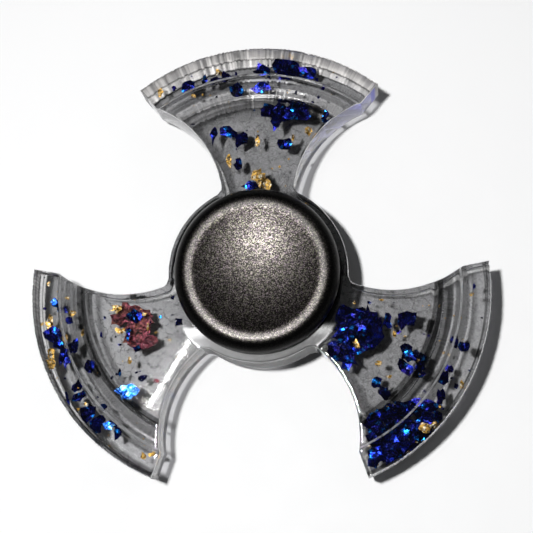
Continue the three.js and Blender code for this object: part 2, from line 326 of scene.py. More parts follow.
        # The top arm's right side is painted blue: a painted reflection of the foil behind it.
        along_arm = self.times(self.span(self.y, 17, 31, 0.25, 1.0), self.span(self.y, 17, 20))
        painted_foil_reflection = self.times(along_arm, self.span(self.x, 6, 9))
        return self.lay(
            colour,
            (self.sides, self.mix(painted_foil_reflection, side_colour, (0.012, 0.016, 0.62, 1))),
            (self.rim_wall, self.frost),
            (self.foot, grey(0.4)),
            # the edges painted pale: a painted highlight
            (self.edges, grey(0.95)),
        )

    def polish(self):
        """Polished faces with scuffs and hairlines. Where the light glares they turn rough and metallic."""
        scuffs = self.span(self.noise(2.2, 6, 0.7, 1.5), 0.52, 0.72)
        hairlines = self.span(self.noise(9, 2, 0.5, 0.0, (0.12, 1, 1)), 0.62, 0.75)
        middle = self.times(self.span(self.x, -6, 0), self.span(self.x, 5, 9, 1.0, 0.0), self.top_arm)
        glare = self.highest(self.light_step, self.times(self.ring(self.ragged, *GLARE_RING, 0.1), 1.5))
        milky = self.highest(self.frosted_and_lit, self.times(glare, middle))
        rough = self.total(
            self.times(scuffs, 0.03),
            self.times(hairlines, 0.02),
            self.times(self.rim_wall, 0.3),
            self.times(self.edges, 0.2),
            self.times(milky, 0.36),
            self.times(self.foot, 0.6),
            0.02,
        )
        self.set("Roughness", rough)
        glints = self.span(self.noise(0.6, 4, 0.7), 0.35, 0.6, 0.15, 0.75)
        shine = self.times(self.edges, glints, self.span(self.frosted_and_lit, 0, 1, 1, 0.2))
        shine = self.math("ADD", shine, self.times(self.rim_wall, self.streaks, 0.6), clamp=True)
        milk_shine = self.times(milky, self.span(self.streaks, 0.1, 0.9, 0.08, 0.5))
        self.set("Metallic", self.highest(shine, milk_shine, self.times(self.foot, 0.14)))
        self.bump(
            (self.noise(0.3, 2, 0.5), 0.03, 0.2),
            (scuffs, 0.004, 0.2),
            (self.times(self.rim_wall, self.streaks), 0.12, 0.9),
        )

    def let_lamps_through(self):
        """Lamps light what is cast inside the resin. Its slopes and edges throw the dark shadow of glass."""
        near_edge = self.span(self.reach, *RIM_SHADOW)
        hub_edge = self.times(self.ring(self.hub, *HUB_SHADOW, 0.1), self.span(self.x, -2, 5))
        dark = self.highest(self.span(self.walls, 0.01, 0.06, 0.0, 0.6), near_edge, hub_edge)
        colour = self.mix(dark, (0.76, 0.76, 0.77, 1), (0.012, 0.012, 0.015, 1))
        clear = self.add("ShaderNodeBsdfTransparent", {"Color": colour}).outputs[0]
        from_lamp = self.add("ShaderNodeLightPath").outputs["Is Shadow Ray"]
        both = self.add("ShaderNodeMixShader", {0: from_lamp, 1: self.shader.outputs[0], 2: clear})
        self.feed(both.outputs[0], self.output.inputs["Surface"])


def resin_material():
    s = Resin()
    s.set("Base Color", s.wall_tints(s.rings(s.smoke())))
    s.polish()
    s.let_lamps_through()
    return s.material


def blue_foil():
    """Cobalt foil that turns from near-black navy to violet, in flat folds, with a few facets painted bright
    cyan as painted glints.
    """
    s = Surface("blue_foil", Metallic=1.0)
    patches = s.span(s.noise(0.9, 4, 0.6, 0.8), 0.42, 0.66)
    violet = s.span(s.noise(0.5, 2, 0.5), 0.5, 0.66, 0.0, 0.45)
    facet = s.add("ShaderNodeSeparateColor", {0: s.cells(1.5, "Color", "F1", 0.4)}).outputs[0]
    colour = s.mix(patches, (0.002, 0.003, 0.038, 1), (0.004, 0.014, 0.27, 1))
    colour = s.mix(violet, colour, (0.024, 0.010, 0.20, 1))
    worn = s.span(s.noise(6, 4, 0.75), 0.57, 0.64, 0.0, 0.6)
    colour = s.mix(worn, colour, (0.10, 0.11, 0.24, 1))
    # A few facets painted bright cyan: painted glints.
    s.set("Base Color", s.mix(s.span(facet, 0.90, 0.94), colour, (0.02, 0.30, 1.0, 1)))
    s.set("Roughness", s.span(s.noise(3, 3), 0.3, 0.7, 0.16, 0.32))
    s.bump((s.noise(1.6, 3, 0.5, 0.6), 0.12, 0.5), (facet, 0.04, 0.5))
    return s.material


def cyan_foil():
    """The same foil where it lies flat and catches the light."""
    s = Surface("cyan_foil", Metallic=1.0)
    pale = s.span(s.noise(1.4, 4, 0.7, 0.6), 0.48, 0.62)
    s.set("Base Color", s.mix(pale, (0.01, 0.13, 0.9, 1), (0.25, 0.62, 1.0, 1)))
    s.set("Roughness", s.span(s.noise(3, 3), 0.3, 0.7, 0.2, 0.34))
    s.bump((s.noise(1.8, 3, 0.5, 0.6), 0.06, 0.4))
    return s.material


def gold_foil():
    """Gold leaf, crumpled, with dark brown folds of painted shade and white-gold crests of painted
    highlight.
    """
    s = Surface("gold_foil", Metallic=0.8)
    folds = s.span(s.noise(1.7, 6, 0.7, 1.0), 0.43, 0.55)
    crests = s.span(s.noise(1.9, 5, 0.7, 0.8), 0.54, 0.6)
    # Dark brown is painted shade in the folds, and white-gold is painted highlight on the crests.
    colour = s.mix(folds, (0.07, 0.035, 0.01, 1), (1.0, 0.60, 0.13, 1))
    s.set("Base Color", s.mix(crests, colour, (1.0, 0.97, 0.80, 1)))
    s.set("Roughness", s.span(s.noise(5, 3), 0.3, 0.7, 0.3, 0.5))
    s.bump((s.noise(1.9, 5, 0.7, 0.8), 0.12, 0.8))
    return s.material


def copper_foil():
    """Thin copper-red foil with darker creases of painted shade."""
    s = Surface("copper_foil", Metallic=0.7)
    folds = s.span(s.noise(1.4, 6, 0.7, 0.8), 0.40, 0.60)
    brown = s.span(s.noise(0.5, 3, 0.6), 0.4, 0.6)
    light = s.mix(brown, (0.62, 0.14, 0.20, 1), (0.30, 0.11, 0.07, 1))
    # The darker creases are painted shade.
    s.set("Base Color", s.mix(folds, (0.05, 0.02, 0.03, 1), light))
    s.set("Roughness", s.span(s.noise(4, 3), 0.3, 0.7, 0.26, 0.5))
    s.bump((s.noise(2.6, 5, 0.7, 0.6), 0.25, 0.7))
    return s.material


# Where the cap's painted highlights and painted shade change, as distances from the spin axis.
DISH_HIGHLIGHT_EDGE = 9.0  # the painted highlight in the dish's middle fades out to here
DISH_STOP = (10.2, 10.6)
# the crest is painted lighter here: a painted highlight
CREST_HIGHLIGHT_RING = (10.5, 11.65)
# the shoulder is painted darker from here out: painted shade
SHOULDER_SHADE_START = (11.45, 12.15)


def anodised_black():
    """Bead-blasted black anodising: a fine grain of coloured sparks, fainter on the shoulder. The dish's
    middle and the crest carry painted highlights, and the shoulder is painted darker as painted shade.
    """
    s = Surface("anodised_black", Metallic=1.0)
    parts = s.add("ShaderNodeSeparateColor", {0: s.cells(7.5, "Color")})
    spark = s.math("POWER", parts.outputs[0], 3.0)
    tone = s.mix(spark, grey(0.009), grey(0.112, 0.03))
    hue = s.mix(parts.outputs[1], (1.0, 0.80, 0.98, 1), (0.96, 1.0, 0.72, 1))
    tone = s.vector("MULTIPLY", tone, hue)
    radius = s.from_axis()
    # The crest is evened out and painted lighter below: a painted highlight.
    crest = s.ring(radius, *CREST_HIGHLIGHT_RING, 0.4)
    tone = s.mix(s.times(crest, 0.45), tone, grey(0.034, 0.03))
    # The dish's middle is painted lighter, a painted highlight, and darker towards its edge, painted shade.
    dish = s.times(s.span(radius, 0.0, DISH_HIGHLIGHT_EDGE), s.span(radius, *DISH_STOP, 1.0, 0.0))
    tone = s.vector("MULTIPLY", tone, s.mix(dish, grey(1.28), grey(0.7)))
    tone = s.vector("MULTIPLY", tone, s.mix(crest, grey(1.0), grey(1.6)))
    # The shoulder is painted near-black: painted shade.
    shoulder = s.span(radius, *SHOULDER_SHADE_START)
    s.set("Base Color", s.mix(shoulder, tone, s.mix(0.12, grey(0.010), tone)))
    blast = s.span(parts.outputs[2], 0.0, 1.0, 0.29, 0.38)
    s.set("Roughness", s.math("ADD", blast, s.times(crest, 0.07)))
    s.bump((s.noise(0.5, 2), 0.01, 0.2))
    return s.material


def polished_steel():
    """Ground bearing steel with faint turning lines."""
    s = Surface("polished_steel", Metallic=1.0, Base_Color=(0.62, 0.63, 0.65, 1))
    lines = s.noise(1.0, 3, 0.6, 0.0, (0.05, 0.05, 14))
    s.set("Roughness", s.span(lines, 0.3, 0.7, 0.14, 0.26))
    s.bump((lines, 0.01, 0.3))
    return s.material


def pressed_steel():
    """Satin sheet steel with a rolled grain."""
    s = Surface("pressed_steel", Metallic=1.0)
    grain = s.noise(1.6, 4, 0.6, 0.0, (0.4, 4, 4))
    s.set("Base Color", s.mix(grain, (0.36, 0.36, 0.35, 1), (0.56, 0.56, 0.55, 1)))
    s.set("Roughness", s.span(grain, 0.3, 0.7, 0.28, 0.45))
    s.bump((grain, 0.02, 0.4))
    return s.material


def floor_material():
    s = Surface("pale_floor")
    s.set("Base Color", s.mix(s.noise(0.02, 3), (0.95, 0.95, 0.95, 1), (0.97, 0.97, 0.97, 1)))
    s.set("Roughness", s.span(s.noise(0.2, 4), 0.3, 0.7, 0.62, 0.75))
    s.bump((s.noise(1.5, 3), 0.02, 0.2))
    return s.material


# ---- Mesh helpers ----


def piece(name, bm, material, body, sharp_degrees=None):
    """Makes an object of a bmesh, which it frees. With an angle it is smooth but for sharper edges."""
    mesh = bpy.data.meshes.new(name)
    bm.to_mesh(mesh)
    bm.free()
    mesh.materials.append(material)
    obj = bpy.data.objects.new(name, mesh)
    bpy.context.scene.collection.objects.link(obj)
    if sharp_degrees:
        mesh.polygons.foreach_set("use_smooth", [True] * len(mesh.polygons))
        mesh.set_sharp_from_angle(angle=math.radians(sharp_degrees))
    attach(obj, body)
    return obj


def turned(profile, sides=160):
    """A closed ring or body of revolution about Z, from (radius, height) pairs in millimetres."""
    bm = bmesh.new()
    rows = []
    for radius, height in profile:
        if radius == 0:
            rows.append([bm.verts.new((0, 0, height * MM))])
            continue
        row = []
        for i in range(sides):
            a = 2 * math.pi * i / sides
            row.append(bm.verts.new((radius * MM * math.cos(a), radius * MM * math.sin(a), height * MM)))
        rows.append(row)
    closed = len(rows[0]) > 1
    for low, high in zip(rows, rows[1:] + (rows[:1] if closed else [])):
        for i in range(sides):
            j = (i + 1) % sides
            corners = [low[i % len(low)], low[j % len(low)], high[j % len(high)], high[i % len(high)]]
            corners = list(dict.fromkeys(corners))
            if len(corners) > 2:
                bm.faces.new(corners)
    bmesh.ops.recalc_face_normals(bm, faces=bm.faces)
    return bm


def curve(centre, radii, start, stop, steps):
    """Points on an ellipse's arc, in degrees, ends included."""
    turns = [math.radians(start + (stop - start) * i / steps) for i in range(steps + 1)]
    return [(centre[0] + radii[0] * math.cos(a), centre[1] + radii[1] * math.sin(a)) for a in turns]


# ---- Finger caps ----

CAP_RADIUS = 13.5
CAP_TOP = 8.2
CAP_UNDERSIDE = 5.0
CREST_OUTER = 11.15
CREST_INNER = 10.3
DISH_DEPTH = 1.1
SHOULDER_BASE = 6.0
BOSS_RADIUS = 5.7
BOSS_FOOT = 3.55
STEM_RADIUS = 3.95
STEM_END = -3.1
SOCKET_RADIUS = 2.5
SOCKET_TOP = 5.8
SCREW_RADIUS = 2.45
SCREW_TIP = 5.5
SCREW_CHAMFER = 0.3
GAP = 0.05
CAP_EDGE = 0.4  # round-over of the cap's lower edge
CAP_EDGE_STEPS = 4
SHOULDER_STEPS = 14
DISH_STEPS = 24
SHARP_METAL = 35  # degrees; gentler edges are shaded smooth


def cap_face():
    """From under the boss round the rim and the crest to the middle of the dish."""
    rim = [(BOSS_RADIUS, BOSS_FOOT), (BOSS_RADIUS, CAP_UNDERSIDE)]
    centre = (CAP_RADIUS - CAP_EDGE, CAP_UNDERSIDE + CAP_EDGE)
    rim += curve(centre, (CAP_EDGE, CAP_EDGE), -90, 0, CAP_EDGE_STEPS)
    radii = (CAP_RADIUS - CREST_OUTER, CAP_TOP - SHOULDER_BASE)
    shoulder = curve((CREST_OUTER, SHOULDER_BASE), radii, 0, 90, SHOULDER_STEPS)
    dish = []
    for i in range(DISH_STEPS + 1):
        x = CREST_INNER * (1 - i / DISH_STEPS)
        dish.append((x, CAP_TOP - DISH_DEPTH * (1 - (x / CREST_INNER) ** 2)))
    return rim + shoulder + dish


def front_cap(material):
    inside = [(0, SOCKET_TOP), (SOCKET_RADIUS, SOCKET_TOP), (SOCKET_RADIUS, STEM_END)]
    stem = [(STEM_RADIUS, STEM_END), (STEM_RADIUS, BOSS_FOOT)]
    bm = turned(inside + stem + cap_face())
    cap = piece("front_finger_cap", bm, material, "caps", SHARP_METAL)
    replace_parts(cap, "cap_front")


def back_cap(material):
    spigot = [(0, SCREW_TIP), (SCREW_RADIUS - SCREW_CHAMFER, SCREW_TIP)]
    spigot += [(SCREW_RADIUS, SCREW_TIP - SCREW_CHAMFER)]
    stem_end = STEM_END - GAP
    spigot += [(SCREW_RADIUS, stem_end), (STEM_RADIUS, stem_end), (STEM_RADIUS, -BOSS_FOOT)]
    face = [(radius, -height) for radius, height in cap_face()]
    bm = turned(spigot + face)
    cap = piece("back_finger_cap", bm, material, "caps", SHARP_METAL)
    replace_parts(cap, "cap_back")


# ---- Bearing ----

BEARING_HALF = 3.5
PITCH_RADIUS = 7.5
GROOVE_RADIUS = 2.08
GROOVE_STEPS = 12
CHAMFER = 0.3
CHAMFER_STEPS = 3
OUTER_RADIUS = 11.0
OUTER_LAND = 9.0
SEAT_RADIUS = 9.6  # where the shields sit in the outer ring
SEAT_LEDGE = 2.7
INNER_LAND = 6.0
BORE = 4.0
SHIELD_RIM = 9.55
SHIELD_HOLE = 6.3
SHIELD_FACES = (2.75, 3.05)
BEAD = ((9.0, 0.0), (8.7, 0.06), (7.2, 0.06), (6.9, 0.0))  # radius, how far below the outer face


def groove(land, sign):
    """The ball groove's section on a land's radius, from below the ball to above it."""
    rise = math.sqrt(GROOVE_RADIUS**2 - (land - PITCH_RADIUS) ** 2)
    reach = math.degrees(math.atan2(rise, abs(land - PITCH_RADIUS)))
    points = curve((PITCH_RADIUS, 0), (GROOVE_RADIUS, GROOVE_RADIUS), -reach, reach, GROOVE_STEPS)
    return [(PITCH_RADIUS + sign * (x - PITCH_RADIUS), z) for x, z in points]


def outer_ring(material):
    h, c = BEARING_HALF, CHAMFER
    profile = [(SEAT_RADIUS, -h)]
    profile += curve((OUTER_RADIUS - c, -h + c), (c, c), -90, 0, CHAMFER_STEPS)
    profile += curve((OUTER_RADIUS - c, h - c), (c, c), 0, 90, CHAMFER_STEPS)
    profile += [(SEAT_RADIUS, h), (SEAT_RADIUS, SEAT_LEDGE), (OUTER_LAND, SEAT_LEDGE)]
    profile += groove(OUTER_LAND, 1)[::-1]
    profile += [(OUTER_LAND, -SEAT_LEDGE), (SEAT_RADIUS, -SEAT_LEDGE)]
    ring = piece("outer_ring", turned(profile), material, "rotor", SHARP_METAL)
    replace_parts(ring, "bearing_outer_ring")


def inner_ring(material):
    h, c = BEARING_HALF, CHAMFER
    profile = curve((BORE + c, h - c), (c, c), 90, 180, CHAMFER_STEPS)
    profile += curve((BORE + c, -h + c), (c, c), 180, 270, CHAMFER_STEPS)
    profile += [(INNER_LAND, -h)] + groove(INNER_LAND, -1) + [(INNER_LAND, h)]
    ring = piece("inner_ring", turned(profile), material, "caps", SHARP_METAL)
    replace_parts(ring, "bearing_inner_ring")


def shield(name, node, side, material):
    """A pressed shield with a shallow rolled bead."""
    low, high = SHIELD_FACES
    profile = [(SHIELD_HOLE, low), (SHIELD_RIM, low), (SHIELD_RIM, high)]
    profile += [(radius, high - sunk) for radius, sunk in BEAD] + [(SHIELD_HOLE, high)]
    bm = turned([(radius, side * height) for radius, height in profile])
    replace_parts(piece(name, bm, material, "rotor", SHARP_METAL), node)


# ---- Resin ----

ARM_COUNT = 3
BORE_RADIUS = 11.05
HUB_RADIUS = 14.75
RIM_CENTRE = 5.6  # how far out along an arm its rim and steps are centred
RIM_RADIUS = 32.9
TIP_RADIUS = 37.5  # hub's centre to an arm's corners
KINK_RADIUS = 33.2  # where an arm's straight end meets its scooped side
SCOOP_CENTRE = Vector((11.6, 23.9))  # along the arm, beside the arm
SCOOP_RADIUS = 18.1
NECK_FILLET = 1.4
EDGE_RADIUS = 0.3  # the long edges' round-over
EDGE_SHARES = (0, 0.04, 0.18, 0.45)  # where columns lie on the round-over, from the very edge
FILLET_STEPS = 12
SCOOP_STEPS = 60
STRAIGHT_STEPS = 12
HUB_GAP_STEPS = 48  # along the hub, from one arm to the next
ARM_COLUMNS = 128  # two for each rib of the rim
RIBS_PER_RADIAN = 64 / math.radians(77)
RIB_GROOVES = (0.05, 0.16)  # least and greatest depth
RIB_CRESTS = (0.0, 0.04)
RIBBED = 0.25  # how far in from the rim its ribs are cut
SHIFT_LENGTH = 9  # how far out from the hub the rows have moved over to the rim's centre
NECK_LENGTH = 8.0  # rows are NECK_STEP apart as far as this from the hub, and then ARM_STEP
NECK_STEP = 0.4
ARM_STEP = 0.12
RIM_MARGIN = 0.5  # the last rows have their own distances from the rim
RIM_OFFSETS = (0.45, 0.3, 0.2, 0.12, 0.05, 0.015, 0)
BORE_SHARES = (0, 0.01, 0.04, 0.08, 0.5)  # the hub's rings, as shares of the way out from the bore
HUB_OFFSETS = (0.3, 0.16, 0.05, 0.012, 0)  # and as distances in from the hub's edge
FACE_HEIGHT = 4.5
TOUCH = 1e-6
SHARP_RESIN = 32  # degrees
# How far each face has dropped at a distance from the rim's centre. The front steps down in smooth
# slopes; on the back each ribbed riser is followed by a slight taper.
FRONT_PROFILE = ((23.2, 0.0), (24.6, 0.5), (27.8, 0.5), (28.4, 1.0))
BACK_PROFILE = (
    (25.2, 0.0), (25.35, 0.24), (27.1, 0.40), (29.2, 0.40), (29.35, 0.62), (30.2, 0.70), (32.9, 0.8),
)
SCALLOP = 0.16  # how far the back risers' ribs stand out


def rim_centres():
    turns = (math.pi / 2 + i * 2 * math.pi / ARM_COUNT for i in range(ARM_COUNT))
    return [Vector((RIM_CENTRE * math.cos(a), RIM_CENTRE * math.sin(a))) for a in turns]


def circles_meet(a, radius_a, b, radius_b):
    """Where two circles cross, on the left of the line from centre a to centre b."""
    gap = b - a
    along = (gap.length_squared + radius_a**2 - radius_b**2) / (2 * gap.length)
    aside = math.sqrt(radius_a**2 - along**2)
    unit = gap.normalized()
    return a + unit * along + Vector((-unit.y, unit.x)) * aside


def flat_turn(angle):
    return Matrix.Rotation(angle, 2)


def short_arc(centre, start, stop, steps):
    turn = (start - centre).angle_signed(stop - centre)
    points = []
    for i in range(steps + 1):
        ray = start - centre
        ray.rotate(flat_turn(-turn * i / steps))
        points.append(centre + ray)
    return points


def arm_side():
    """One side of an arm that points along +X, from the hub out to the corner, on its +Y side."""
    hub = Vector((0, 0))
    fillet = circles_meet(SCOOP_CENTRE, SCOOP_RADIUS - NECK_FILLET, hub, HUB_RADIUS + NECK_FILLET)
    on_hub = fillet.normalized() * HUB_RADIUS
    on_scoop = SCOOP_CENTRE + (fillet - SCOOP_CENTRE).normalized() * SCOOP_RADIUS
    kink = circles_meet(SCOOP_CENTRE, SCOOP_RADIUS, hub, KINK_RADIUS)
    corner = circles_meet(hub, TIP_RADIUS, Vector((RIM_CENTRE, 0)), RIM_RADIUS)
    side = short_arc(fillet, on_hub, on_scoop, FILLET_STEPS)
    side += short_arc(SCOOP_CENTRE, on_scoop, kink, SCOOP_STEPS)[1:]
    return side + [kink.lerp(corner, i / STRAIGHT_STEPS) for i in range(1, STRAIGHT_STEPS + 1)]


def crossing(side, centre, radius):
    """The point of a side that is a radius away from a centre on the arm's line."""
    for a, b in zip(side, side[1:]):
        near, far = (a - centre).length - radius, (b - centre).length - radius
        if near <= TOUCH <= far + 2 * TOUCH:
            return a.lerp(b, -near / (far - near)) if far > near else a
    return side[-1]


def row_stations():
    """Where the rows cross an arm's line, closer together past the neck and at the rim."""
    tip = RIM_CENTRE + RIM_RADIUS
    stations = [HUB_RADIUS + NECK_STEP * i for i in range(round(NECK_LENGTH / NECK_STEP))]
    count = int((tip - RIM_MARGIN - HUB_RADIUS - NECK_LENGTH) / ARM_STEP)
    stations += [HUB_RADIUS + NECK_LENGTH + ARM_STEP * i for i in range(count)]
    return stations + [tip - offset for offset in RIM_OFFSETS]


def row_centre(station):
    """Rows are centred on the hub at the neck, and on the rim's centre from the first step out."""
    reach = min(1.0, (station - HUB_RADIUS) / SHIFT_LENGTH)
    return Vector((RIM_CENTRE * reach * reach * (3 - 2 * reach), 0))


def rim_ribs(rng):
    """How deep each column's groove is cut into the rim."""
    return [rng.uniform(*(RIB_GROOVES if i % 2 else RIB_CRESTS)) for i in range(ARM_COLUMNS + 1)]


def arm_rows(rng):
    """Rows of points over an arm along +X, from its foot on the hub to its rim."""
    side = arm_side()
    ribs = rim_ribs(rng)
    stations = row_stations()
    rows = []
    for station in stations:
        centre = row_centre(station)
        radius = station - centre.x
        spread = (crossing(side, centre, radius) - centre).angle_signed(Vector((1, 0)))
        margin = EDGE_RADIUS / radius
        insets = [margin * share for share in EDGE_SHARES]
        inner = spread - margin
        turns = [-spread + inset for inset in insets]
        turns += [inner * (2 * i / ARM_COLUMNS - 1) for i in range(ARM_COLUMNS + 1)]
        turns += [spread - inset for inset in reversed(insets)]
        at_rim = station > stations[-1] - RIBBED
        row = []
        for i, turn in enumerate(turns):
            rib = ribs[min(max(i - len(insets), 0), ARM_COLUMNS)] if at_rim else 0
            reach = radius - rib
            row.append(centre + Vector((reach * math.cos(turn), reach * math.sin(turn))))
        rows.append(row)
    return rows


def resin_plan():
    """The rotor seen from the front: its points, and its faces as lists of their numbers."""
    rng = random.Random(5)
    points, faces, known = [], [], {}

    def number(point):
        key = (round(point.x, 4), round(point.y, 4))
        if key not in known:
            known[key] = len(points)
            points.append(point)
        return known[key]

    def weave(rows):
        numbers = [[number(p) for p in row] for row in rows]
        for low, high in zip(numbers, numbers[1:]):
            for i in range(len(low) - 1):
                faces.append([low[i], high[i], high[i + 1], low[i + 1]])

    ring = [BORE_RADIUS + (HUB_RADIUS - BORE_RADIUS) * share for share in BORE_SHARES]
    ring += [HUB_RADIUS - offset for offset in HUB_OFFSETS]
    feet = []
    for arm in range(ARM_COUNT):
        turn = flat_turn(math.pi / 2 + arm * 2 * math.pi / ARM_COUNT)
        rows = [[turn @ p for p in row] for row in arm_rows(rng)]
        weave(rows)
        feet.append(rows[0])
    for arm, foot in enumerate(feet):
        gap = short_arc(Vector((0, 0)), foot[-1], feet[(arm + 1) % ARM_COUNT][0], HUB_GAP_STEPS)
        for edge in (foot, gap):
            weave([[p.normalized() * radius for p in edge] for radius in ring[:-1]] + [edge])
    return points, faces


def drop(distance, profile, smooth):
    """How far a face has dropped at a distance from the rim's centre."""
    for (near, before), (far, after) in zip(profile, profile[1:]):
        if distance < far:
            share = max(0.0, (distance - near) / (far - near))
            if smooth:
                share = share * share * (3 - 2 * share)
            return before + (after - before) * share
    return profile[-1][1]


def resin_rotor(material):
    """The cast rotor: a plan of fine rows, raised to its front and back faces and walled round."""
    points, faces = resin_plan()
    edges = {}
    for face in faces:
        for a, b in zip(face, face[1:] + face[:1]):
            key = (min(a, b), max(a, b))
            edges[key] = None if key in edges else (a, b)
    rim = [edge for edge in edges.values() if edge]
    wall_points = [(p.x, p.y, z) for z in (-1, 1) for p in points]
    count = len(points)
    wall = BVHTree.FromPolygons(wall_points, [(a, b, b + count, a + count) for a, b in rim])
    centres = rim_centres()
    bm = bmesh.new()
    front, back = [], []
    for p in points:
        inset = wall.find_nearest((p.x, p.y, 0))[3]
        depth = max(0.0, EDGE_RADIUS - inset)
        rounding = EDGE_RADIUS - math.sqrt(EDGE_RADIUS**2 - depth**2)
        centre = min(centres, key=lambda c: -c.dot(p))
        ray = p - centre
        wave = math.sin(ray.angle_signed(centre) * RIBS_PER_RADIAN * 2 * math.pi)
        rib = SCALLOP if wave > 0 else -SCALLOP
        top = FACE_HEIGHT - drop(ray.length, FRONT_PROFILE, True) - rounding
        bottom = FACE_HEIGHT - drop(ray.length - rib / 2, BACK_PROFILE, False) - rounding
        front.append(bm.verts.new((p.x * MM, p.y * MM, top * MM)))
        back.append(bm.verts.new((p.x * MM, p.y * MM, -bottom * MM)))
    for face in faces:
        bm.faces.new([front[i] for i in face])
        bm.faces.new([back[i] for i in reversed(face)])
    for a, b in rim:
        bm.faces.new([front[b], front[a], back[a], back[b]])
    bmesh.ops.recalc_face_normals(bm, faces=bm.faces)
    rotor = piece("resin_rotor", bm, material, "rotor", SHARP_RESIN)
    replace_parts(rotor, "resin_body")


# ---- Foil ----

SHEET = 0.02  # thickness of the foil
COVER = 0.5  # least resin over any foil
TILT = 0.3  # radians, the most that a flake leans
FEWEST_CORNERS = 9
CORNERS = 2.4  # round the outline, for each facet's width across
FOLDS = 0.6  # inside the outline, for each facet's area
TEARS = ((0.55, 0.8), (0.85, 1.3), (0.95, 1.2))  # how far out a corner may reach, as shares
INNER_REACH = 0.27
FOLD_LENGTH = 2.6  # in facets
FOLD_JITTER = 0.25
FOIL_DEPTHS = (-1.6, 2.2)
GOLD_DEPTHS = (-1.0, 2.4)
SPECK_DEPTHS = (-2.5, 2.8)
SPECK_START = 14  # nearest to the axis that specks lie
SPECK_SPREAD = 24  # and how much further out they go

# Each flake: middle x, y and width, height, in millimetres, seen from the front.
BLUE_TOP = [
    (-9.3, 33.8, 1.0, 1.9), (-7.7, 33.6, 2.2, 1.5), (-5.7, 34.7, 1.8, 1.9), (-3.9, 34.6, 0.6, 0.9),
    (0.3, 35.6, 2.7, 2.7), (4.6, 35.6, 4.2, 4.0), (7.6, 34.6, 3.6, 2.4), (1.7, 33.8, 0.6, 2.9),
    (-11.9, 32.4, 2.3, 2.2), (-14.2, 32.1, 1.0, 0.9), (-3.9, 31.5, 2.6, 2.8), (0.2, 32.1, 3.0, 2.4),
    (9.8, 33.0, 0.8, 0.8), (10.8, 31.5, 0.6, 0.6), (10.0, 30.1, 0.5, 0.7), (6.2, 31.2, 0.6, 0.8),
    (3.2, 27.6, 5.0, 3.2), (6.4, 27.2, 4.6, 3.4), (3.0, 25.6, 2.0, 2.6), (10.9, 26.8, 1.0, 1.7),
    (-7.7, 23.8, 1.2, 3.4), (-5.0, 24.2, 2.6, 2.6), (-3.2, 23.6, 2.6, 3.2), (4.5, 22.1, 3.0, 2.1),
    (-3.6, 19.1, 1.5, 2.1), (-1.4, 15.2, 3.1, 1.7), (4.8, 27.9, 6.4, 3.2), (1.4, 28.2, 3.2, 2.0),
    (5.2, 34.6, 5.0, 2.6), (-6.2, 34.0, 3.4, 1.0),
]
BLUE_LEFT = [
    (-34.1, -3.9, 1.5, 1.6), (-35.9, -5.0, 0.8, 0.5), (-33.5, -5.0, 1.0, 1.0), (-32.5, -5.0, 0.7, 0.8),
    (-31.4, -7.1, 1.3, 1.5), (-34.6, -9.3, 2.8, 2.6), (-33.8, -11.0, 1.8, 2.0), (-31.0, -11.3, 1.5, 3.4),
    (-32.2, -13.0, 2.2, 4.0), (-25.8, -6.6, 0.6, 0.5), (-26.3, -9.5, 0.7, 1.1), (-21.0, -6.4, 2.6, 2.4),
    (-21.6, -9.5, 1.0, 2.1), (-18.0, -7.6, 0.4, 0.4), (-16.3, -6.8, 0.5, 0.5), (-14.5, -6.3, 0.4, 0.4),
    (-14.3, -3.6, 0.7, 0.7), (-13.2, -7.8, 1.9, 1.5), (-20.3, -11.9, 1.8, 1.4), (-19.3, -16.7, 1.8, 1.3),
    (-23.1, -15.9, 0.6, 1.8), (-30.3, -18.0, 1.8, 2.4), (-29.8, -19.6, 2.2, 2.4),
    (-32.0, -20.2, 0.9, 3.7), (-28.3, -22.0, 3.2, 3.4), (-26.8, -23.8, 2.6, 3.2), (-28.3, -14.6, 1.9, 2.2),
    (-24.2, -24.0, 2.2, 1.4), (-23.5, -25.6, 1.5, 2.8), (-26.7, -19.8, 0.4, 0.4), (-25.4, -21.4, 1.4, 0.9),
]
